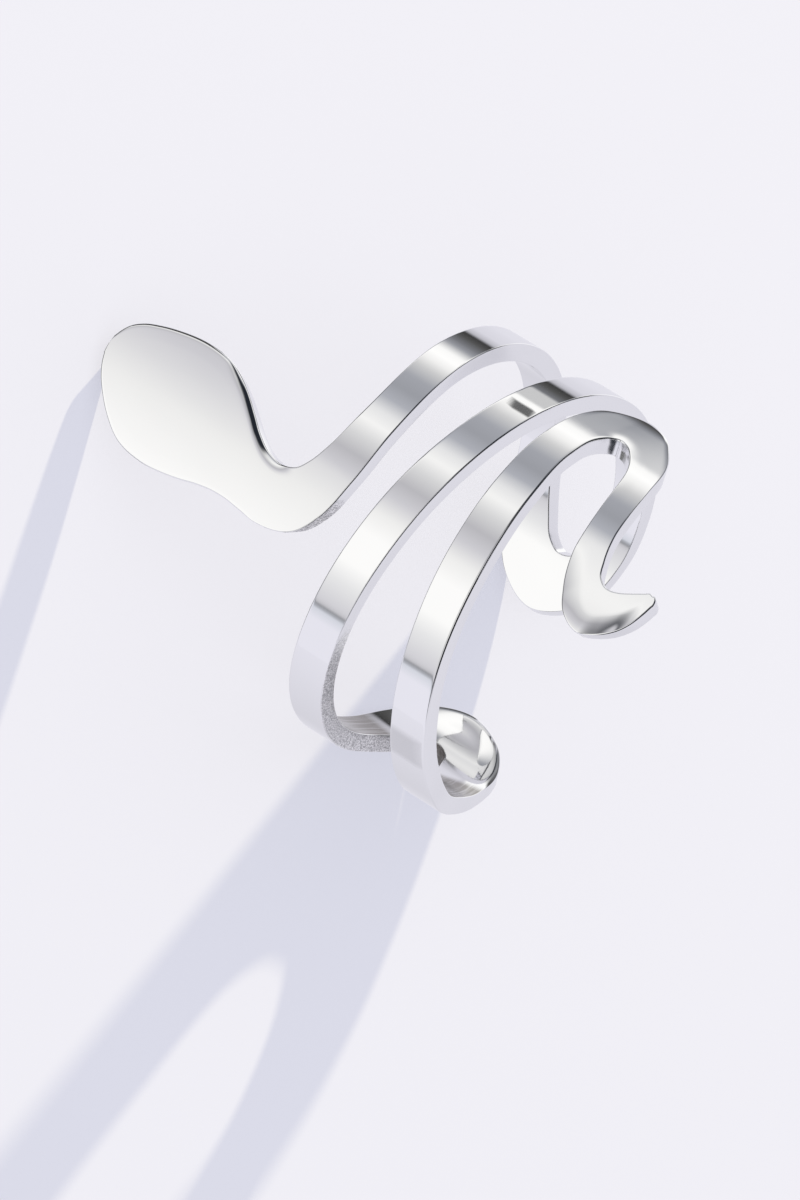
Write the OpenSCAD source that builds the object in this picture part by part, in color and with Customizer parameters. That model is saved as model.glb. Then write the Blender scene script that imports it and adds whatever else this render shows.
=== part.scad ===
// Snake ring: one strip of polished sheet metal, cut flat as a winding snake and then rolled to the finger.
// It is drawn as a table of straight cuts across the strip, from the snout to the tip of the tail.
// While it is drawn, the finger runs along Z with the snout lowest; it is then laid down on its side.

/* [Ring size] */
// Inner diameter, the finger's own
inner_d = 17.3; // [15:0.1:20]
// Thickness of the metal
wall_t = 0.85; // [0.6:0.05:1.1]

/* [Strip] */
// Width of the strip against the drawn one
width_share = 1; // [0.85:0.05:1.1]
// Pieces of curve between two rows of the table
row_steps = 4; // [2:1:6]

/* [Hidden] */

inner_r = inner_d / 2;
outer_r = inner_r + wall_t;

// Columns of the tables below. Angles run round the finger and places along it, in millimetres.
// A cut is the straight line across the strip at that place, drawn on the rolled-out metal:
// at 0 degrees it runs round the finger and at 90 degrees along it, towards the tail.
ANGLE = 0;
ALONG = 1;
CUT = 2;
WIDTH = 3;

// A blunt snout that widens to a spoon-shaped head and narrows to the neck
head = [
    // angle, along, cut, width
    [91.0, -14.08, 0, 0.90],
    [91.2, -13.95, 0, 1.60],
    [91.5, -13.70, 0, 2.48],
    [92.3, -13.25, 0, 3.46],
    [93.8, -12.50, 0, 4.59],
    [95.0, -11.65, 0, 5.46],
    [95.3, -10.20, 0, 5.96],
    [95.3, -9.00, 0, 5.75],
    [95.7, -8.20, 0, 5.30],
    [96.6, -7.35, 0, 4.55],
    [98.2, -6.50, 0, 3.75],
    [99.8, -5.85, 0, 3.20],
    [101.6, -5.00, 0, 2.80],
    [102.2, -4.20, 0, 2.75]
];

// The neck swings round into the first band, over the top of the finger to the far side
first_band = [
    // angle, along, cut, width
    [99.8, -2.92, 28, 2.73],
    [94.7, -2.33, 44, 2.47],
    [86.5, -1.95, 70, 2.00],
    [72.0, -1.72, 90, 1.72],
    [40.0, -1.80, 90, 1.68],
    [5.0, -1.80, 90, 1.70],
    [-25.0, -1.80, 90, 1.72],
    [-48.0, -1.72, 90, 1.80]
];

// The strip turns back on the far side, where it is wider
far_bend = [
    // angle, along, cut, width
    [-60.0, -1.52, 72, 2.10],
    [-68.5, -1.17, 50, 2.50],
    [-77.5, -0.32, 28, 2.80],
    [-81.3, 0.95, -2, 3.05],
    [-79.0, 1.90, -19, 2.70],
    [-73.5, 2.60, -38, 2.25],
    [-64.0, 3.05, -62, 1.90],
    [-50.0, 3.28, -86, 1.72]
];

// The second band slants across the top and down the near side
second_band = [
    // angle, along, cut, width
    [-20.0, 3.15, -94, 1.72],
    [15.0, 2.82, -96, 1.68],
    [54.0, 2.18, -97, 1.68],
    [90.0, 1.34, -98, 1.80],
    [126.0, 0.54, -97, 1.80],
    [158.0, 0.00, -95, 1.80],
    [180.0, -0.17, -90, 1.70]
];

// The strip turns back under the finger, where it is wider
lower_bend = [
    // angle, along, cut, width
    [200.0, -0.05, -90, 1.75],
    [211.5, 0.36, -64, 2.15],
    [219.5, 1.00, -37, 2.70],
    [223.2, 2.30, -3, 3.05],
    [220.3, 3.47, 17, 3.00],
    [212.5, 4.33, 37, 2.88],
    [200.0, 4.85, 52, 2.42],
    [186.0, 5.22, 70, 1.95]
];

// The third band climbs the near side beside the second one
third_band = [
    // angle, along, cut, width
    [168.0, 5.64, 89, 1.98],
    [143.0, 5.66, 93, 1.84],
    [119.0, 5.46, 95, 1.76],
    [90.0, 5.20, 96, 1.82],
    [66.0, 4.97, 95, 1.74],
    [50.0, 4.88, 92, 1.64]
];

// The last bend turns down at the top and narrows to the tail
upper_bend = [
    // angle, along, cut, width
    [38.0, 5.08, 66, 1.82],
    [31.3, 5.48, 37, 2.45],
    [27.0, 6.36, 7, 3.00],
    [29.0, 7.11, -6, 2.60],
    [33.9, 7.84, -23, 2.02],
    [40.6, 8.49, -41, 1.70],
    [49.5, 8.85, -63, 1.36]
];

// The tail hooks outward, along the finger, and ends in a point
tail = [
    // angle, along, cut, width
    [58.0, 9.08, -79, 1.27],
    [66.0, 9.30, -79, 1.29],
    [73.2, 9.60, -73, 1.46],
    [79.2, 10.02, -48, 1.66],
    [82.9, 10.58, -28, 2.10],
    [84.0, 11.16, -7, 2.25],
    [82.8, 11.69, 3, 2.05],
    [80.5, 12.25, 8, 1.84],
    [77.6, 12.70, 14, 1.42],
    [75.3, 12.93, 20, 0.95],
    [74.2, 13.05, 30, 0.50]
];

strip = concat(head, first_band, far_bend, second_band, lower_bend, third_band, upper_bend, tail);

// How far the trimming shape runs past both faces of the metal, and the tube past the snout and the tail
trim_over = 0.5;
// Facets of the tube's full circle
tube_facets = 180;

// The three places that touch the table when the ring lies with its snout down: angle, along, radius
rest_snout = [96.0, -13.95, inner_r];
rest_far_bend = [-79.5, -1.67, outer_r];
rest_lower_bend = [218.8, -0.40, outer_r];

// One end of a row's cut, on the rolled-out metal: side is -1 at the left edge and 1 at the right one
function cut_end(row, side) =
    let (reach = side * width_share * row[WIDTH] / 2)
    [row[ANGLE] * PI / 180 * outer_r + reach * cos(row[CUT]), row[ALONG] + reach * sin(row[CUT])];

// Slope of a smooth curve through point i, per millimetre of the straight way between its neighbours
function slope(pts, i) =
    let (last = len(pts) - 1)
    i == 0 ? (pts[1] - pts[0]) / norm(pts[1] - pts[0])
    : i == last ? (pts[last] - pts[last - 1]) / norm(pts[last] - pts[last - 1])
    : let (
        before = norm(pts[i] - pts[i - 1]),
        after = norm(pts[i + 1] - pts[i])
    )
    ((pts[i + 1] - pts[i]) * before / after + (pts[i] - pts[i - 1]) * after / before) / (before + after);

// A point of the curve between points i and i + 1, at t from 0 to 1
function between(pts, i, t) =
    let (gap = norm(pts[i + 1] - pts[i]))
    (2 * t ^ 3 - 3 * t ^ 2 + 1) * pts[i]
    + (t ^ 3 - 2 * t ^ 2 + t) * gap * slope(pts, i)
    + (3 * t ^ 2 - 2 * t ^ 3) * pts[i + 1]
    + (t ^ 3 - t ^ 2) * gap * slope(pts, i + 1);

function smooth(pts) = [
    for (i = [0 : len(pts) - 2], k = [0 : row_steps - 1]) between(pts, i, k / row_steps),
    pts[len(pts) - 1]
];

// A point of the rolled-out metal put back round the finger, at a radius
function rolled(p, r) = let (a = p[0] / outer_r * 180 / PI) [r * cos(a), r * sin(a), p[1]];

left_edge = smooth([for (row = strip) cut_end(row, -1)]);
right_edge = smooth([for (row = strip) cut_end(row, 1)]);
last_cut = len(left_edge) - 1;

// The way up from the table, from the three places that touch it
function on_ring(place) = [place[2] * cos(place[0]), place[2] * sin(place[0]), place[1]];
rest_normal = cross(on_ring(rest_far_bend) - on_ring(rest_snout), on_ring(rest_lower_bend) - on_ring(rest_snout));
rest_up = rest_normal.z < 0 ? -rest_normal : rest_normal;
rest_heading = atan2(rest_up.y, rest_up.x);
rest_lean = acos(rest_up.z / norm(rest_up));

// A point as it lies: turned about Z so that the lean is along X, then leaned over
function turned(p, a) = [p.x * cos(a) - p.y * sin(a), p.x * sin(a) + p.y * cos(a), p.z];
function leaned(p, a) = [p.x * cos(a) - p.z * sin(a), p.y, p.x * sin(a) + p.z * cos(a)];
function lying(p) = leaned(turned(p, -rest_heading), rest_lean);

lying_points = [for (edge = [left_edge, right_edge], p = edge, r = [inner_r, outer_r]) lying(rolled(p, r))];
function middle(axis) =
    let (values = [for (p = lying_points) p[axis]])
    (min(values) + max(values)) / 2;
rest_bottom = min([for (p = lying_points) p.z]);

// A solid that holds the strip and nothing else of the tube: its sides are the strip's edges, square to the metal
module trimming_shape() {
    radii = [inner_r - trim_over, outer_r + trim_over];
    points = [for (i = [0 : last_cut], edge = [left_edge, right_edge], r = radii) rolled(edge[i], r)];
    // Corners of a cut, in order round it: left inner, left outer, right outer, right inner
    corners = [0, 1, 3, 2];
    sides = [
        for (i = [0 : last_cut - 1], k = [0 : 3])
        let (
            a = 4 * i + corners[k],
            b = 4 * i + corners[(k + 1) % 4]
        )
        each [[a, a + 4, b + 4], [a, b + 4, b]]
    ];
    snout_end = [[0, 1, 3], [0, 3, 2]];
    tail_end = [for (f = snout_end) [for (c = [2 : -1 : 0]) 4 * last_cut + f[c]]];
    polyhedron(points, concat(sides, snout_end, tail_end));
}

module tube() {
    along = [for (p = concat(left_edge, right_edge)) p[1]];
    start = min(along) - trim_over;
    length = max(along) + trim_over - start;
    translate([0, 0, start])
        difference() {
            cylinder(r = outer_r, h = length, $fn = tube_facets);
            translate([0, 0, -trim_over]) cylinder(r = inner_r, h = length + 2 * trim_over, $fn = tube_facets);
        }
}

module lay_down() {
    translate([-middle(0), -middle(1), -rest_bottom])
        rotate([0, -rest_lean, 0])
        rotate([0, 0, -rest_heading])
        children();
}

module snake_band() {
    color("silver")
        lay_down()
        intersection() {
            tube();
            trimming_shape();
        }
}

snake_band();
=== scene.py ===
import math

import bpy
import numpy as np
from mathutils import Matrix, Quaternion, Vector


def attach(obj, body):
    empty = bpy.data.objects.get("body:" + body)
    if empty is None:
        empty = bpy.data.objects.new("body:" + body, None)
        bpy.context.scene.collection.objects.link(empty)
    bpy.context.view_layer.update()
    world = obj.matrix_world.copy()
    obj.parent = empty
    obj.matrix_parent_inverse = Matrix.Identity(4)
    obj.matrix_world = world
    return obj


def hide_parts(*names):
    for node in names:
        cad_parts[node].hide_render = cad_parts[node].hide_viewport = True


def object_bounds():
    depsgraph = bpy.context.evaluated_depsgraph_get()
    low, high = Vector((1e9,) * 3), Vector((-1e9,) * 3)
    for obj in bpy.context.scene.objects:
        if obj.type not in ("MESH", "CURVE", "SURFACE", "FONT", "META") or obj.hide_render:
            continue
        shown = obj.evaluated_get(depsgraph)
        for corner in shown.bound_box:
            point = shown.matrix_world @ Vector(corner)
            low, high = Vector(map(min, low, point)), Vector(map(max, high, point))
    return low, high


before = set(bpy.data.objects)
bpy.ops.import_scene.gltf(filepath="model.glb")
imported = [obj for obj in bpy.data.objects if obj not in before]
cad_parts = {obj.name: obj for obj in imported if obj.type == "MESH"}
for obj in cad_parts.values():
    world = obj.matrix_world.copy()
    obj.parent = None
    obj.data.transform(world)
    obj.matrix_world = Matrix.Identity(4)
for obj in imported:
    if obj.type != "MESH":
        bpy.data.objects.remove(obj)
cad_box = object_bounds()

MM = 0.001

# The ring's sizes in millimetres, as in the part's source
INNER_R = 17.3 / 2
WALL = 0.85
OUTER_R = INNER_R + WALL

# The strip as straight cuts across it, from the snout to the tip of the tail: the angle round the finger, the
# place along it in millimetres, the cut's angle on the rolled-out metal and the width there
HEAD = [
    (91.0, -14.08, 0, 0.90),
    (91.2, -13.95, 0, 1.60),
    (91.5, -13.70, 0, 2.48),
    (92.3, -13.25, 0, 3.46),
    (93.8, -12.50, 0, 4.59),
    (95.0, -11.65, 0, 5.46),
    (95.3, -10.20, 0, 5.96),
    (95.3, -9.00, 0, 5.75),
    (95.7, -8.20, 0, 5.30),
    (96.6, -7.35, 0, 4.55),
    (98.2, -6.50, 0, 3.75),
    (99.8, -5.85, 0, 3.20),
    (101.6, -5.00, 0, 2.80),
    (102.2, -4.20, 0, 2.75),
]
FIRST_BAND = [
    (99.8, -2.92, 28, 2.73),
    (94.7, -2.33, 44, 2.47),
    (86.5, -1.95, 70, 2.00),
    (72.0, -1.72, 90, 1.72),
    (40.0, -1.80, 90, 1.68),
    (5.0, -1.80, 90, 1.70),
    (-25.0, -1.80, 90, 1.72),
    (-48.0, -1.72, 90, 1.80),
]
FAR_BEND = [
    (-60.0, -1.52, 72, 2.10),
    (-68.5, -1.17, 50, 2.50),
    (-77.5, -0.32, 28, 2.80),
    (-81.3, 0.95, -2, 3.05),
    (-79.0, 1.90, -19, 2.70),
    (-73.5, 2.60, -38, 2.25),
    (-64.0, 3.05, -62, 1.90),
    (-50.0, 3.28, -86, 1.72),
]
SECOND_BAND = [
    (-20.0, 3.15, -94, 1.72),
    (15.0, 2.82, -96, 1.68),
    (54.0, 2.18, -97, 1.68),
    (90.0, 1.34, -98, 1.80),
    (126.0, 0.54, -97, 1.80),
    (158.0, 0.00, -95, 1.80),
    (180.0, -0.17, -90, 1.70),
]
LOWER_BEND = [
    (200.0, -0.05, -90, 1.75),
    (211.5, 0.36, -64, 2.15),
    (219.5, 1.00, -37, 2.70),
    (223.2, 2.30, -3, 3.05),
    (220.3, 3.47, 17, 3.00),
    (212.5, 4.33, 37, 2.88),
    (200.0, 4.85, 52, 2.42),
    (186.0, 5.22, 70, 1.95),
]
THIRD_BAND = [
    (168.0, 5.64, 89, 1.98),
    (143.0, 5.66, 93, 1.84),
    (119.0, 5.46, 95, 1.76),
    (90.0, 5.20, 96, 1.82),
    (66.0, 4.97, 95, 1.74),
    (50.0, 4.88, 92, 1.64),
]
UPPER_BEND = [
    (38.0, 5.08, 66, 1.82),
    (31.3, 5.48, 37, 2.45),
    (27.0, 6.36, 7, 3.00),
    (29.0, 7.11, -6, 2.60),
    (33.9, 7.84, -23, 2.02),
    (40.6, 8.49, -41, 1.70),
    (49.5, 8.85, -63, 1.36),
]
TAIL = [
    (58.0, 9.08, -79, 1.27),
    (66.0, 9.30, -79, 1.29),
    (73.2, 9.60, -73, 1.46),
    (79.2, 10.02, -48, 1.66),
    (82.9, 10.58, -28, 2.10),
    (84.0, 11.16, -7, 2.25),
    (82.8, 11.69, 3, 2.05),
    (80.5, 12.25, 8, 1.84),
    (77.6, 12.70, 14, 1.42),
    (75.3, 12.93, 20, 0.95),
    (74.2, 13.05, 30, 0.50),
]
STRIP_PARTS = (HEAD, FIRST_BAND, FAR_BEND, SECOND_BAND, LOWER_BEND, THIRD_BAND, UPPER_BEND, TAIL)
STRIP = [cut for part in STRIP_PARTS for cut in part]

# The three places that touch the table: the angle round the finger, the place along it and the radius
REST_SNOUT = (96.0, -13.95, INNER_R)
REST_FAR_BEND = (-79.5, -1.67, OUTER_R)
REST_LOWER_BEND = (218.8, -0.40, OUTER_R)

# How finely the visible metal is drawn: the rows from cut to cut and those that close an end, the steps over
# a rounded edge and the ones across the middle of a face
ROW_STEPS = 10
END_STEPS = 8
ROUND_STEPS = 7
MIDDLE_STEPS = 6
# Lines of points along each face's rounded edges, so far from them: the first ones keep the polished face
# true right up to the edge, the others carry the stretches that fall off towards it
EDGE_LINES = (0, 0.025, 0.09, 0.18, 0.29, 0.42, 0.58, 0.76)
# No more than this share of a face's width goes to the lines along one edge
EDGE_LINES_LIMIT = 0.42
# Where a closed end leaves a face no width, it counts as this wide
LEAST_WIDTH = 0.001
# How far each closed end of the strip bulges, against half the width of the last cut
SNOUT_BULGE = 0.1
TAIL_BULGE = 0.6
# Points closer than this, in metres, become one where the ends close
WELD_WITHIN = 1e-7

# How far the edges are rounded over, outside and inside the ring
OUTER_ROUND = 0.065
INNER_ROUND = 0.05
# The strip's outer face, its inner face and the wall along its left edge
OUTSIDE, INSIDE, LEFT_WALL = 0, 1, 2
# Stretches where a face falls off towards an edge: the face, the side, the numbers of the cuts where it
# starts and ends, over how many cuts it comes and goes, how far it reaches from the edge and how deep it is
# there. A side is -1 at the left edge and 1 at the right one.
ROLLS = [
    (OUTSIDE, -1, -3, 9, 1.0, 0.18, 0.085),  # round the head
    (OUTSIDE, 1, -3, 13, 1.0, 0.12, 0.05),
    (OUTSIDE, -1, 7, 14, 1.6, 0.40, 0.125),  # at the inside of the neck
    (INSIDE, 1, 37.5, 44, 1.5, 1.25, 0.125),  # round the cup of the lower bend
    (INSIDE, 1, 38.4, 43.2, 0.8, 0.30, 0.036),  # and steeper at its rim
    (OUTSIDE, 1, 29, 37, 1.0, 0.11, 0.03),  # along the second and the third band
    (OUTSIDE, 1, 45, 52, 1.0, 0.11, 0.03),
    (OUTSIDE, -1, 51, 57, 1.0, 0.28, 0.03),  # round the upper bend
    (OUTSIDE, 1, 51.5, 57.5, 1.0, 0.5, 0.022),  # and at its inside
    (OUTSIDE, 1, 59.5, 66.8, 1.8, 1.0, 0.155),  # at the outside of the tail
]

# The head, the bends' free ends and the tail are pressed flatter than the tube, each to a radius of its own
# and from an angle of its own on. The head is flatter both ways from its middle, fading in on one side
# between two places along the finger.
HEAD_R = 28.0
HEAD_MIDDLE = 88.7
HEAD_FLAT_FROM = -4.5
HEAD_FLAT_FULL = -8.0
# So many cuts of the first band still belong to the head's flat stretch
HEAD_FLAT_CUTS = 4
FAR_BEND_R = 60.0
FAR_BEND_FLAT_FROM = -76.0
UPPER_BEND_R = 400.0
UPPER_BEND_FLAT_FROM = 38.8
# From so many millimetres past that angle on, the upper bend curves as the tube does again
UPPER_BEND_FLAT_LIMIT = 2.3
# Beyond this place along the finger it leaves the tube on a slant, by so many degrees a millimetre
UPPER_BEND_SLANT_FROM = 6.0
UPPER_BEND_SLANT = 0.4
TAIL_R = 40.0
TAIL_FLAT_FROM = 70.0
# They stand off the tube this way or straight back, and each faces that way by this much
STAND_OFF_WAY = (0, 0.912, 0.41)
HEAD_FACING = 0.90
FAR_BEND_FACING = -0.89
UPPER_BEND_FACING = 0.57
TAIL_FACING = 0.88

# Edges that the polishing didn't reach. On the left that is the second band, from one angle on and fully
# from another, and the bend below it.
RAW_BAND_FROM = 116.0
RAW_BAND_FULL = 140.0
# On the right it is the underside of the neck: its last cuts from this place along the finger on, and the
# start of the band, until it fades out between these angles
RAW_NECK_CUTS = 3
RAW_NECK_FROM = -4.8
RAW_NECK_ANGLES = (91.0, 97.0)
# Stretches with painted shade, the dark reflections in the ring's hollows painted into the colour: the face
# or wall, the numbers of the cuts where they start and end, over how many cuts they come and go, and how dark
# they are
PAINTED_SHADE_STRETCHES = [
    (INSIDE, 34.5, 37.65, 0.4, 1.0),  # inside the lower bend, where the second band comes into it
    (INSIDE, 42.7, 46.5, 0.35, 1.0),  # and where the third band leaves it
    (LEFT_WALL, 38.0, 43.2, 0.7, 1.0),  # the end of the slot between the two bands
]

# The camera, in millimetres and degrees
CAMERA_AT = (88.95, 123.10, 229.90)
CAMERA_LOOKS_AT = (-3.315, 2.554, 4.888)
CAMERA_ROLL = 87.8
LENS = 190.7
SENSOR = 36
# What it sees begins and ends so many metres away
CLIP = (0.01, 10)


def on_ring(angle, along, radius):
    """A place on the ring before it is laid down, with the finger along Z."""
    turn = np.radians(angle)
    return np.stack([radius * np.cos(turn), radius * np.sin(turn), along + 0 * turn], axis=-1)


def rest_turn():
    """The turn that lays the ring down on its three resting places."""
    snout, far_bend, lower_bend = (on_ring(*place) for place in (REST_SNOUT, REST_FAR_BEND, REST_LOWER_BEND))
    up = Vector(np.cross(far_bend - snout, lower_bend - snout)).normalized()
    if up.z < 0:
        up.negate()
    return Matrix.Rotation(-math.acos(up.z), 3, "Y") @ Matrix.Rotation(-math.atan2(up.y, up.x), 3, "Z")


LAY_DOWN = rest_turn()
# The ring's own directions once it lies there: to 0 degrees, to 90 degrees, and along the finger to the tail
TO_0, TO_90, TO_TAIL = (LAY_DOWN @ Vector(axis) for axis in ((1, 0, 0), (0, 1, 0), (0, 0, 1)))


def eased(share):
    """0 to 1 in an S-curve, held outside."""
    share = np.clip(share, 0, 1)
    return share * share * (3 - 2 * share)


def smooth(points):
    """A smooth curve through the points, the same one as in the part's source."""
    ways = np.diff(points, axis=0)
    gaps = np.linalg.norm(ways, axis=1)[:, None]
    before, after = gaps[:-1], gaps[1:]
    inner = (ways[1:] * before / after + ways[:-1] * after / before) / (before + after)
    slopes = np.concatenate([ways[:1] / gaps[:1], inner, ways[-1:] / gaps[-1:]])
    t = (np.arange(ROW_STEPS) / ROW_STEPS)[None, :, None]
    start, end = points[:-1, None], points[1:, None]
    leaving, arriving = (gaps * slopes[:-1])[:, None], (gaps * slopes[1:])[:, None]
    drawn = (
        (2 * t**3 - 3 * t**2 + 1) * start
        + (t**3 - 2 * t**2 + t) * leaving
        + (3 * t**2 - 2 * t**3) * end
        + (t**3 - t**2) * arriving
    )
    return np.concatenate([drawn.reshape(-1, 2), points[-1:]])


def closed_end(left, right, left_before, right_before, bulge):
    """Rows that go on from the strip's last cut and close it in a flat half round."""
    half = (right - left) / 2
    middle = (left + right) / 2
    ahead = middle - (left_before + right_before) / 2
    ahead *= bulge * np.linalg.norm(half) / np.linalg.norm(ahead)
    turn = np.linspace(0, math.pi / 2, END_STEPS + 1)[1:, None]
    centre = middle + ahead * np.sin(turn)
    return centre - half * np.cos(turn), centre + half * np.cos(turn)


def outline():
    """The left and right edges on the rolled-out metal, from the tip of the snout to that of the tail."""
    angle, along, cut, width = (np.array(column, float) for column in zip(*STRIP))
    middle = np.stack([np.radians(angle) * OUTER_R, along], axis=1)
    turn = np.radians(cut)
    reach = np.stack([np.cos(turn), np.sin(turn)], axis=1) * width[:, None] / 2
    left, right = smooth(middle - reach), smooth(middle + reach)
    snout = closed_end(left[0], right[0], left[1], right[1], SNOUT_BULGE)
    tail = closed_end(left[-1], right[-1], left[-2], right[-2], TAIL_BULGE)
    return (np.concatenate([snout[side][::-1], edge, tail[side]]) for side, edge in enumerate((left, right)))


def outward(edge, side, middle):
    """The direction out of the strip at each point of an edge, square to that edge."""
    tangent = np.gradient(edge, axis=0)
    normal = side * np.stack([tangent[:, 1], -tangent[:, 0]], axis=1)
    normal[0], normal[-1] = middle[0] - middle[1], middle[-1] - middle[-2]
    return normal / np.linalg.norm(normal, axis=1)[:, None]


def first_row(*parts):
    """The number of the row where the strip goes on after these parts of the table."""
    return END_STEPS + ROW_STEPS * sum(len(part) for part in parts)


def cut_numbers(rows):
    """The number in the table of the cut at each row, with parts of a cut between two of them."""
    return (np.arange(rows) - END_STEPS) / ROW_STEPS


def within(cut, start, end, ease):
    """1 between two cuts and 0 outside them, coming and going over so many cuts."""
    return eased((cut - start) / ease) * eased((end - cut) / ease)


def flatter(past, own_radius, facing, limit=math.inf):
    """How far a flatter stretch stands off the tube, this far past the place where it leaves it."""
    past = np.maximum(past, 0)
    bent = np.minimum(past, limit)
    return (1 / OUTER_R - 1 / own_radius) * bent * (past - bent / 2) / facing


def stand_off(arc, along):
    """How far each point of the head, the bends and the tail stands off the tube."""

    def past(angle):
        return arc - np.radians(angle) * OUTER_R

    share = eased((HEAD_FLAT_FROM - along) / (HEAD_FLAT_FROM - HEAD_FLAT_FULL))
    past_middle = past(HEAD_MIDDLE)
    head = np.where(past_middle > 0, 1, share) * flatter(np.abs(past_middle), HEAD_R, HEAD_FACING)
    far_bend = flatter(-past(FAR_BEND_FLAT_FROM), FAR_BEND_R, FAR_BEND_FACING)
    leaves = UPPER_BEND_FLAT_FROM + UPPER_BEND_SLANT * np.maximum(along - UPPER_BEND_SLANT_FROM, 0)
    upper_bend = flatter(-past(leaves), UPPER_BEND_R, UPPER_BEND_FACING, UPPER_BEND_FLAT_LIMIT)
    tail = flatter(past(TAIL_FLAT_FROM), TAIL_R, TAIL_FACING)
    off = np.zeros_like(arc)
    over = first_row(HEAD, FIRST_BAND[:HEAD_FLAT_CUTS])
    last_bend = first_row(HEAD, FIRST_BAND, FAR_BEND, SECOND_BAND, LOWER_BEND, THIRD_BAND[:-1])
    off[:over] = head[:over]
    off[over:last_bend] = far_bend[over:last_bend]
    off[last_bend:] = (upper_bend + tail)[last_bend:]
    return off


def roll_off(face, side, distance):
    """How far a face has fallen off at every cut, this far from the edge."""
    cut = cut_numbers(len(distance))
    fallen = np.zeros(len(distance))
    for roll_face, roll_side, start, end, ease, reach, drop in ROLLS:
        if (roll_face, roll_side) == (face, side):
            fallen += within(cut, start, end, ease) * drop * np.maximum(1 - distance / reach, 0) ** 2
    return fallen


def unpolished(edge, side):
    """How far the edge's side was missed by the polishing at every cut, from 0 to 1."""
    angle = np.degrees(edge[:, 0] / OUTER_R)
    missed = np.zeros(len(edge))
    if side < 0:
        start = first_row(HEAD, FIRST_BAND, FAR_BEND)
        end = first_row(HEAD, FIRST_BAND, FAR_BEND, SECOND_BAND, LOWER_BEND)
        share = eased((angle - RAW_BAND_FROM) / (RAW_BAND_FULL - RAW_BAND_FROM))
        missed[start:end] = share[start:end]
    else:
        start, end = first_row(HEAD[:-RAW_NECK_CUTS]), first_row(HEAD, FIRST_BAND)
        low, high = RAW_NECK_ANGLES
        share = eased(edge[:, 1] - RAW_NECK_FROM) * eased((angle - low) / (high - low))
        missed[start:end] = share[start:end]
    return missed


def painted_shade(place, rows):
    """How much painted shade a face or the left wall gets at every cut, from 0 to 1."""
    shade_share = np.zeros(rows)
    for shaded_place, start, end, ease, full in PAINTED_SHADE_STRETCHES:
        if shaded_place == place:
            shade_share += within(cut_numbers(rows), start, end, ease) * full
    return shade_share


def edge_profile(side, rows):
    """Points over one edge, from the outer face to the inner one: the inset from the edge, the height over
    the inner face with a value for every cut, and how much of each point is edge."""
    points = []
    square = math.pi / 2
    cuts = np.zeros(rows)
    for turn in np.linspace(0, square, ROUND_STEPS + 1):
        inset = OUTER_ROUND * (1 - math.sin(turn))
        height = WALL - OUTER_ROUND * (1 - math.cos(turn)) - roll_off(OUTSIDE, side, cuts + inset)
        points.append((inset, height, turn / square))
    top, bottom = points[-1][1], INNER_ROUND + roll_off(INSIDE, side, cuts)
    for share in (1 / 3, 2 / 3):
        points.append((0, top * (1 - share) + bottom * share, 1))
    for turn in np.linspace(square, 0, ROUND_STEPS + 1):
        inset = INNER_ROUND * (1 - math.sin(turn))
        height = INNER_ROUND * (1 - math.cos(turn)) + roll_off(INSIDE, side, cuts + inset)
        points.append((inset, height, turn / square))
    return points


def across_face(start, end):
    """Points across a face between its two rounded edges, closer together towards these."""
    width = np.linalg.norm(end - start, axis=1)[:, None]
    scale = np.minimum(1 / np.maximum(width, LEAST_WIDTH), EDGE_LINES_LIMIT / EDGE_LINES[-1])
    near = [line * scale for line in EDGE_LINES]
    middle = [near[-1] + (1 - 2 * near[-1]) * k / MIDDLE_STEPS for k in range(1, MIDDLE_STEPS)]
    return [start + (end - start) * share for share in near + middle + [1 - share for share in near[::-1]]]


def band_section():
    """The strip's section, point by point, with values for every cut: the place on the rolled-out metal, the
    height, the share of edge, how far the polishing missed it and how much painted shade it gets."""
    left, right = outline()
    middle = (left + right) / 2
    over_edge = []
    for edge, side in ((left, -1), (right, 1)):
        out = outward(edge, side, middle)
        missed = unpolished(edge, side)
        # The painted shade on the left wall, at the end of the slot
        shade_share = painted_shade(LEFT_WALL, len(edge)) * (side < 0)
        over_edge.append([
            (edge - inset * out, height, share, share * missed, share * shade_share)
            for inset, height, share in edge_profile(side, len(edge))
        ])
    left_edge, right_edge = over_edge[0], over_edge[1][::-1]
    polished = np.zeros(len(left))

    def face_points(face, start, end):
        for flat in across_face(start, end):
            fallen = sum(
                roll_off(face, side, np.linalg.norm(flat - edge, axis=1))
                for edge, side in ((left, -1), (right, 1))
            )
            height = fallen if face == INSIDE else WALL - fallen
            yield flat, height, 0, polished, painted_shade(face, len(flat))

    inner_face = list(face_points(INSIDE, left_edge[-1][0], right_edge[0][0]))
    outer_face = list(face_points(OUTSIDE, right_edge[-1][0], left_edge[0][0]))
    return left_edge + inner_face + right_edge + outer_face


def strip_places(arc, along, height):
    """Each point's own place on the metal in millimetres: along the strip, across it, and its height."""
    middle = np.stack([arc.mean(axis=1), along.mean(axis=1)], axis=1)
    steps = np.linalg.norm(np.diff(middle, axis=0), axis=1)
    way = np.concatenate([[0], np.cumsum(steps)])
    ahead = np.gradient(middle, axis=0)
    ahead /= np.linalg.norm(ahead, axis=1)[:, None]
    across = (arc - middle[:, :1]) * ahead[:, 1:] - (along - middle[:, 1:]) * ahead[:, :1]
    return np.stack([np.broadcast_to(way[:, None], arc.shape), across, height], axis=-1)


def laid_place():
    """How far the turned ring is moved to lie over the middle of the floor, as in the part's source."""
    corners = np.concatenate([
        on_ring(np.degrees(edge[END_STEPS:-END_STEPS, 0] / OUTER_R), edge[END_STEPS:-END_STEPS, 1], radius)
        for edge in outline() for radius in (INNER_R, OUTER_R)
    ]) @ np.array(LAY_DOWN).T
    low, high = corners.min(0), corners.max(0)
    return -np.array([(low[0] + high[0]) / 2, (low[1] + high[1]) / 2, low[2]])


LAID_AT = laid_place()


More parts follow.
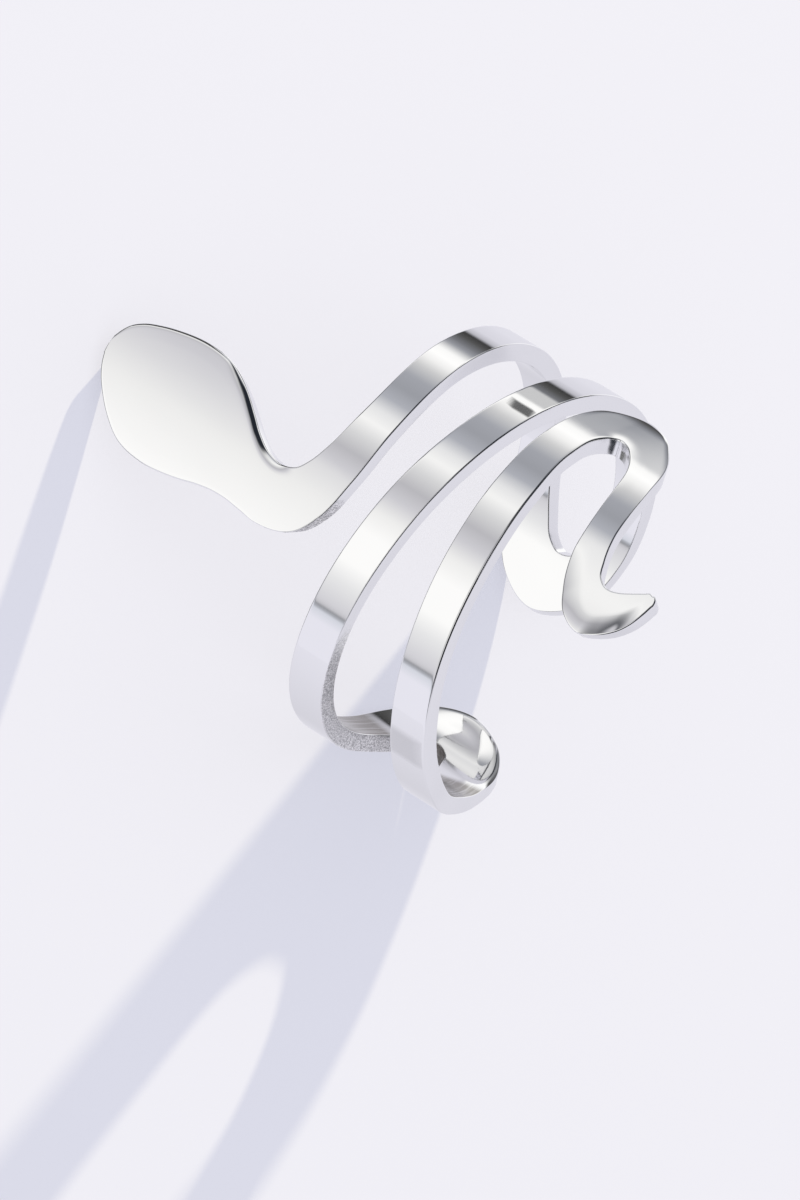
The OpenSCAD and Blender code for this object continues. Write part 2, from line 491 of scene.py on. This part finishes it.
def laid_down(places):
    """Places on the ring, in millimetres, where they are once it lies there."""
    return (np.asarray(places) @ np.array(LAY_DOWN).T + LAID_AT) * MM


def give_points(mesh, name, values, kind="FLOAT", field="value"):
    """A value or a vector for every point of the mesh, under a name that its material reads."""
    numbers = np.asarray(values, np.float32).ravel()
    mesh.attributes.new(name, kind, "POINT").data.foreach_set(field, numbers)


def make_band():
    """The snake: one strip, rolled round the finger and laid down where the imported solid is."""
    section = band_section()
    arc = np.stack([flat[:, 0] for flat, *_ in section], axis=1)
    along = np.stack([flat[:, 1] for flat, *_ in section], axis=1)
    height = np.stack([height for _, height, *_ in section], axis=1)
    missed, shade_share = (np.stack([point[kind] for point in section], axis=1) for kind in (3, 4))
    places = on_ring(np.degrees(arc / OUTER_R), along, INNER_R + height)
    places += stand_off(arc, along)[..., None] * np.array(STAND_OFF_WAY)
    places = laid_down(places.reshape(-1, 3))

    rows, count = arc.shape
    row, step = np.meshgrid(np.arange(rows - 1), np.arange(count), indexing="ij")
    here, beside = row * count + step, row * count + (step + 1) % count
    faces = np.stack([here, beside, beside + count, here + count], axis=-1).reshape(-1, 4)

    mesh = bpy.data.meshes.new("polished_band")
    mesh.from_pydata(places.tolist(), [], faces.tolist())
    mesh.shade_smooth()
    give_points(mesh, "edge_share", np.tile([share for _, _, share, *_ in section], rows))
    give_points(mesh, "unpolished", missed)
    # The share of painted shade at each point, for the material
    give_points(mesh, "painted_shade", shade_share)
    give_points(mesh, "strip_place", strip_places(arc, along, height), "FLOAT_VECTOR", "vector")
    band = bpy.data.objects.new("polished_band", mesh)
    bpy.context.scene.collection.objects.link(band)
    bpy.context.view_layer.objects.active = band
    weld = band.modifiers.new("closed ends", "WELD")
    weld.merge_threshold = WELD_WITHIN
    bpy.ops.object.modifier_apply(modifier=weld.name)
    return band


band = make_band()
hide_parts("snake_band")
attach(band, "root")


# Materials


def add_node(tree, kind, inputs=(), **settings):
    """A node with its settings, and values or links for its inputs by name or number."""
    made = tree.nodes.new(kind)
    for name, value in settings.items():
        setattr(made, name, value)
    for name, value in dict(inputs).items():
        if isinstance(value, bpy.types.NodeSocket):
            tree.links.new(value, made.inputs[name])
        else:
            made.inputs[name].default_value = value
    return made


def join(tree, operation, *values):
    """The value that a maths node makes of two or three values or links."""
    return add_node(tree, "ShaderNodeMath", dict(enumerate(values)), operation=operation).outputs[0]


def ranged(tree, value, low, high, result_low=0.0, result_high=1.0):
    """A value's share of the way from low to high, as a value between two others."""
    return add_node(tree, "ShaderNodeMapRange", {
        "Value": value, "From Min": low, "From Max": high, "To Min": result_low, "To Max": result_high,
    }, interpolation_type="SMOOTHSTEP").outputs[0]


def mixed(tree, share, first, second, **settings):
    """A colour between two others."""
    # These are the node's inputs and its output for colours
    inputs = {0: share, 6: first, 7: second}
    return add_node(tree, "ShaderNodeMix", inputs, data_type="RGBA", **settings).outputs[2]


# Marks on the metal, each so many to the millimetre along the strip, across it and through it, and how fine
# their detail goes
BUFFED_WAVES = (0.20, 0.45, 0.6), 1.0
BUFFED_LINES = (0.35, 13.0, 13.0), 2.0
RAW_GRAIN = (15.0, 15.0, 15.0), 3.0
RAW_PITS = (5.0, 5.0, 5.0), 1.0
# Their heights in metres
WAVE_HEIGHT = 5e-6
LINE_HEIGHT = 1.2e-7
EDGE_GRAIN_HEIGHT = 4e-7
RAW_GRAIN_HEIGHT = 7e-6
# The sum of pits and missed polishing from which an edge begins to be raw, and from which it is all raw
RAW_RANGE = (0.75, 1.05)
# How rough a face is from line to line, and how much an edge, raw metal and a stretch of painted shade add
FACE_ROUGHNESS = (0.040, 0.060)
EDGE_ROUGHNESS = 0.10
RAW_ROUGHNESS = 0.30
SHADE_ROUGHNESS = 0.12
# The stretch of each kind of mark's own values over which it takes effect
LINES_RANGE = (0.3, 0.7)
GRAIN_RANGE = (0.35, 0.65)
STREAKS_RANGE = (0.25, 0.6)
# How dark the lightest streaks of a stretch of painted shade are
LEAST_STREAK = 0.6
# The metal's colours: buffed from wave to wave, raw from grain to grain, and the tint of the painted shade
BUFFED_COLOURS = (0.85, 0.85, 0.86, 1), (0.87, 0.87, 0.88, 1)
RAW_COLOURS = (0.44, 0.44, 0.45, 1), (1.0, 0.99, 1.0, 1)
SHADE_TINT = (0.32, 0.30, 0.28, 1)


def make_steel():
    """Polished steel: faces buffed to a mirror, edges softer, grainy where the polishing missed them, and
    painted shade in the hollows.
    """
    material = bpy.data.materials.new("polished_steel")
    material.use_nodes = True
    tree = material.node_tree
    tree.nodes.clear()
    place = add_node(tree, "ShaderNodeAttribute", attribute_name="strip_place").outputs["Vector"]
    edge, missed, shade_share = (
        add_node(tree, "ShaderNodeAttribute", attribute_name=name).outputs["Fac"]
        for name in ("edge_share", "unpolished", "painted_shade")
    )

    def marks(per_mm, detail):
        stretched = add_node(tree, "ShaderNodeVectorMath", {0: place, 1: per_mm}, operation="MULTIPLY")
        noise = {"Vector": stretched.outputs[0], "Scale": 1.0, "Detail": detail}
        return add_node(tree, "ShaderNodeTexNoise", noise).outputs[0]

    waves, lines, grain, pits = (marks(*kind) for kind in (BUFFED_WAVES, BUFFED_LINES, RAW_GRAIN, RAW_PITS))
    raw = join(tree, "MULTIPLY", missed, ranged(tree, join(tree, "ADD", pits, missed), *RAW_RANGE))
    grain_height = ranged(tree, raw, 0, 1, EDGE_GRAIN_HEIGHT, RAW_GRAIN_HEIGHT)
    height = join(tree, "MULTIPLY", waves, WAVE_HEIGHT)
    height = join(tree, "MULTIPLY_ADD", lines, LINE_HEIGHT, height)
    height = join(tree, "MULTIPLY_ADD", grain, join(tree, "MULTIPLY", grain_height, edge), height)
    bump = add_node(tree, "ShaderNodeBump", {"Strength": 1.0, "Distance": 1.0, "Height": height})

    rough = ranged(tree, lines, *LINES_RANGE, *FACE_ROUGHNESS)
    for share, more in ((edge, EDGE_ROUGHNESS), (raw, RAW_ROUGHNESS), (shade_share, SHADE_ROUGHNESS)):
        rough = join(tree, "MULTIPLY_ADD", share, more, rough)

    speckled = mixed(tree, ranged(tree, grain, *GRAIN_RANGE), *RAW_COLOURS)
    colour = mixed(tree, raw, mixed(tree, waves, *BUFFED_COLOURS), speckled)
    # Painted shade: the colour is darkened in streaks where the ring's hollows reflect dark
    shaded_colour = mixed(tree, 1.0, colour, SHADE_TINT, blend_type="MULTIPLY")
    streaky_shade = join(tree, "MULTIPLY", shade_share, ranged(tree, lines, *STREAKS_RANGE, LEAST_STREAK, 1.0))
    colour = mixed(tree, streaky_shade, colour, shaded_colour)
    steel = add_node(tree, "ShaderNodeBsdfPrincipled", {
        "Base Color": colour,
        "Metallic": 1.0,
        "Roughness": rough,
        "Normal": bump.outputs["Normal"],
    })
    add_node(tree, "ShaderNodeOutputMaterial", {"Surface": steel.outputs["BSDF"]})
    return material


band.data.materials.append(make_steel())


# The studio

# Tints of the light
LAVENDER = (0.93, 0.92, 1.0)
WARM = (1.0, 0.995, 0.975)
COOL = (0.94, 0.965, 1.05)
NEUTRAL = (1.0, 1.0, 1.0)
PALE = (0.985, 0.975, 1.02)
INKY = (0.80, 0.95, 1.25)
# What the polished metal sees all round the finger: the turn in degrees, the tint and the brightness there
STUDIO = [
    (-180, LAVENDER, 231),
    (-165, LAVENDER, 227),
    (-120, LAVENDER, 213),
    (-95, LAVENDER, 219),
    (-60, LAVENDER, 225),
    (-42, LAVENDER, 219),
    (-35.5, LAVENDER, 190),
    (-32.5, NEUTRAL, 56),
    (-27, NEUTRAL, 82),
    (-21, COOL, 119),
    (-16, COOL, 154),
    (-9, WARM, 248),
    (-3, WARM, 254),
    (3, WARM, 239),
    (10, NEUTRAL, 201),
    (19, COOL, 165),
    (29, COOL, 157),
    (38, COOL, 176),
    (46, NEUTRAL, 225),
    (54, WARM, 243),
    (63, NEUTRAL, 212),
    (73, PALE, 184),
    (82, PALE, 204),
    (92, WARM, 236),
    (104, WARM, 250),
    (122, WARM, 250),
    (133, NEUTRAL, 228),
    (147, PALE, 208),
    (149, PALE, 196),
    (151, COOL, 128),
    (153, COOL, 214),
    (159, LAVENDER, 235),
]
# Close to the tail's own direction it is dark all round, but for the paper under the ring
TAIL_END = [
    (-180, LAVENDER, 224),
    (-90, LAVENDER, 224),
    (-48, LAVENDER, 219),
    (-38, INKY, 40),
    (170, INKY, 40),
    (179, LAVENDER, 224),
]
# From where on, as the part of a direction along the finger, and where fully
TAIL_END_FADE = (0.30, 0.52)
# In that very direction all is dark: from where on, where fully, and its grey
TAIL_POLE = (0.86, 0.93, 45)
# Two dark places beside the camera and a white one behind the ring: the turns and the parts along the finger
# where each fades in and out, its tint and its brightness
PLACES = [
    ((38, 58), (150, 128), (-0.36, 0.0), (0.06, -0.06), COOL, 96),
    ((10, 34), (70, 58), (-0.24, -0.05), (0.45, 0.30), INKY, 40),
    ((-70, -58), (-20, -30), (-0.37, -0.33), (-0.02, -0.12), NEUTRAL, 255),
]
# Towards the snout's end all is grey: from where on, where fully, and its grey
SNOUT_END = (-0.76, -0.90, 118)
STUDIO_STRENGTH = 1.18
# The room as the floor sees it
ROOM_LIGHT = (0.830, 0.835, 0.905, 1)


def light_of(grey):
    """The light that shows as this grey of 0 to 255 in the picture, by the standard screen curve."""
    share = grey / 255
    return share / 12.92 if share <= 0.04045 else ((share + 0.055) / 1.055) ** 2.4


def shade(tint, grey):
    """The colour of light that shows as this grey with this tint."""
    return (*(light_of(grey) * part for part in tint), 1)


def make_studio():
    world = bpy.data.worlds.new("studio")
    bpy.context.scene.world = world
    world.use_nodes = True
    world.cycles.sampling_method = "NONE"
    tree = world.node_tree
    tree.nodes.clear()
    direction = add_node(tree, "ShaderNodeTexCoord").outputs["Generated"]

    def part_along(axis):
        dot = add_node(tree, "ShaderNodeVectorMath", {0: direction, 1: tuple(axis)}, operation="DOT_PRODUCT")
        return dot.outputs["Value"]

    turn = join(tree, "ARCTAN2", part_along(TO_90), part_along(TO_0))
    full_turn = {"Value": turn, "From Min": -math.pi, "From Max": math.pi}
    share = add_node(tree, "ShaderNodeMapRange", full_turn).outputs[0]

    def seen_round(table):
        ramp = add_node(tree, "ShaderNodeValToRGB", {"Fac": share})
        stops = ramp.color_ramp.elements
        stops.remove(stops[1])
        for number, (angle, tint, grey) in enumerate(table):
            position = (angle + 180) / 360
            stop = stops.new(position) if number else stops[0]
            stop.position = position
            stop.color = shade(tint, grey)
        return ramp.outputs["Color"]

    along_finger = part_along(TO_TAIL)
    seen = seen_round(STUDIO)
    for turn_in, turn_out, along_in, along_out, tint, grey in PLACES:
        fades = [ranged(tree, turn, *(math.radians(angle) for angle in ends)) for ends in (turn_in, turn_out)]
        fades += [ranged(tree, along_finger, *ends) for ends in (along_in, along_out)]
        inside = fades[0]
        for fade in fades[1:]:
            inside = join(tree, "MULTIPLY", inside, fade)
        seen = mixed(tree, inside, seen, shade(tint, grey))
    seen = mixed(tree, ranged(tree, along_finger, *TAIL_END_FADE), seen, seen_round(TAIL_END))
    for start, full, grey in (TAIL_POLE, SNOUT_END):
        seen = mixed(tree, ranged(tree, along_finger, start, full), seen, shade(NEUTRAL, grey))
    path = add_node(tree, "ShaderNodeLightPath")
    reflected = add_node(tree, "ShaderNodeBackground", {"Color": seen, "Strength": STUDIO_STRENGTH})
    room = add_node(tree, "ShaderNodeBackground", {"Color": ROOM_LIGHT, "Strength": 1.0})
    both = add_node(tree, "ShaderNodeMixShader", {
        0: path.outputs["Is Glossy Ray"], 1: room.outputs[0], 2: reflected.outputs[0],
    })
    add_node(tree, "ShaderNodeOutputWorld", {"Surface": both.outputs[0]})


make_studio()


# The floor is a light table: it glows by itself, so that the ring hardly darkens it, and takes some light too
FLOOR_COLOUR = (0.30, 0.30, 0.30, 1)
FLOOR_GLOW = (0.462, 0.466, 0.545, 1)
FLOOR_ROUGHNESS = 0.9
# How far it reaches from the middle each way, in metres
FLOOR_REACH = 1.0


def make_floor():
    mesh = bpy.data.meshes.new("floor")
    lowest = cad_box[0][2]
    corners = [(x * FLOOR_REACH, y * FLOOR_REACH, lowest) for x, y in ((-1, -1), (1, -1), (1, 1), (-1, 1))]
    mesh.from_pydata(corners, [], [(0, 1, 2, 3)])
    floor = bpy.data.objects.new("floor", mesh)
    bpy.context.scene.collection.objects.link(floor)
    material = bpy.data.materials.new("floor")
    material.use_nodes = True
    paper = material.node_tree.nodes["Principled BSDF"]
    paper.inputs["Base Color"].default_value = FLOOR_COLOUR
    paper.inputs["Roughness"].default_value = FLOOR_ROUGHNESS
    paper.inputs["Specular IOR Level"].default_value = 0.0
    paper.inputs["Emission Color"].default_value = FLOOR_GLOW
    paper.inputs["Emission Strength"].default_value = 1.0
    mesh.materials.append(material)
    floor.visible_glossy = False


make_floor()

# Cards beside the ring, each there for one reflection: how far out along 0 degrees they stand, from and to
# along 90 degrees, from and to along the finger, how wide their soft edges are, their tint and brightness
CARDS = [
    (17.5, 5.65, 7.65, -3.15, -1.55, 0.35, NEUTRAL, 100),  # the dash on the second band
    (17.5, 1.70, 4.95, -3.90, -0.60, 0.55, NEUTRAL, 197),  # and the grey field beside it
    (-17.5, -1.9, 4.1, -0.90, 2.60, 1.20, LAVENDER, 203),  # the darker field low on the third band
    (17.5, -4.0, 27.0, -45.0, -16.5, 1.5, NEUTRAL, 75),  # the line along the head's upper rim in the picture
    (-12.0, -4.0, 9.0, -34.0, -13.5, 1.5, NEUTRAL, 110),  # and along its lower rim
]


def make_card(number, out, low, high, start, end, soft, tint, grey):
    """A card that fades out towards its edges: four by four points, of which the middle ones are opaque."""
    across, along = ([a, a + soft, b - soft, b] for a, b in ((low, high), (start, end)))
    corners = laid_down([(out, u, v) for u in across for v in along])
    cover = [float(i in (1, 2) and j in (1, 2)) for i in range(4) for j in range(4)]
    faces = [(4 * i + j, 4 * i + j + 1, 4 * i + j + 5, 4 * i + j + 4) for i in range(3) for j in range(3)]
    mesh = bpy.data.meshes.new(f"card_{number}")
    mesh.from_pydata(corners.tolist(), [], faces)
    give_points(mesh, "cover", cover)
    card = bpy.data.objects.new(f"card_{number}", mesh)
    bpy.context.scene.collection.objects.link(card)
    material = bpy.data.materials.new(f"card_{number}")
    material.use_nodes = True
    tree = material.node_tree
    tree.nodes.clear()
    paper = add_node(tree, "ShaderNodeEmission", {"Color": shade(tint, grey), "Strength": STUDIO_STRENGTH})
    shown = add_node(tree, "ShaderNodeMixShader", {
        0: add_node(tree, "ShaderNodeAttribute", attribute_name="cover").outputs["Fac"],
        1: add_node(tree, "ShaderNodeBsdfTransparent").outputs[0],
        2: paper.outputs[0],
    })
    add_node(tree, "ShaderNodeOutputMaterial", {"Surface": shown.outputs[0]})
    mesh.materials.append(material)
    for kind in ("camera", "diffuse", "transmission", "volume_scatter", "shadow"):
        setattr(card, f"visible_{kind}", False)


for number, card in enumerate(CARDS):
    make_card(number, *card)

# The light stands almost square to the finger, so that the bands' shadows run together in two streaks: its
# turn round the finger and its lean towards the tail in degrees, its distance and size in metres, and its
# power in watts
KEY_TURN = -6.0
KEY_LEAN = -4.0
KEY_DISTANCE = 1.5
KEY_SIZE = 0.035
KEY_POWER = 64
KEY_COLOUR = (1.0, 0.909, 0.645)


def make_key():
    light = bpy.data.lights.new("key", "AREA")
    light.energy = KEY_POWER
    light.color = KEY_COLOUR
    light.size = KEY_SIZE
    light.shape = "DISK"
    key = bpy.data.objects.new("key", light)
    turn, lean = math.radians(KEY_TURN), math.radians(KEY_LEAN)
    square = TO_0 * math.cos(turn) + TO_90 * math.sin(turn)
    key.location = (square * math.cos(lean) + TO_TAIL * math.sin(lean)) * KEY_DISTANCE
    key.rotation_mode = "QUATERNION"
    key.rotation_quaternion = key.location.to_track_quat("Z", "Y")
    key.visible_glossy = False
    bpy.context.scene.collection.objects.link(key)


make_key()


def make_camera():
    lens = bpy.data.cameras.new("camera")
    lens.lens = LENS
    lens.sensor_width = SENSOR
    camera = bpy.data.objects.new("camera", lens)
    at, looks_at = Vector(CAMERA_AT) * MM, Vector(CAMERA_LOOKS_AT) * MM
    camera.location = at
    camera.rotation_mode = "QUATERNION"
    level = (looks_at - at).to_track_quat("-Z", "Y")
    camera.rotation_quaternion = level @ Quaternion((0, 0, 1), math.radians(CAMERA_ROLL))
    lens.clip_start, lens.clip_end = CLIP
    bpy.context.scene.collection.objects.link(camera)
    bpy.context.scene.camera = camera


make_camera()
bpy.context.scene.view_settings.view_transform = "Standard"
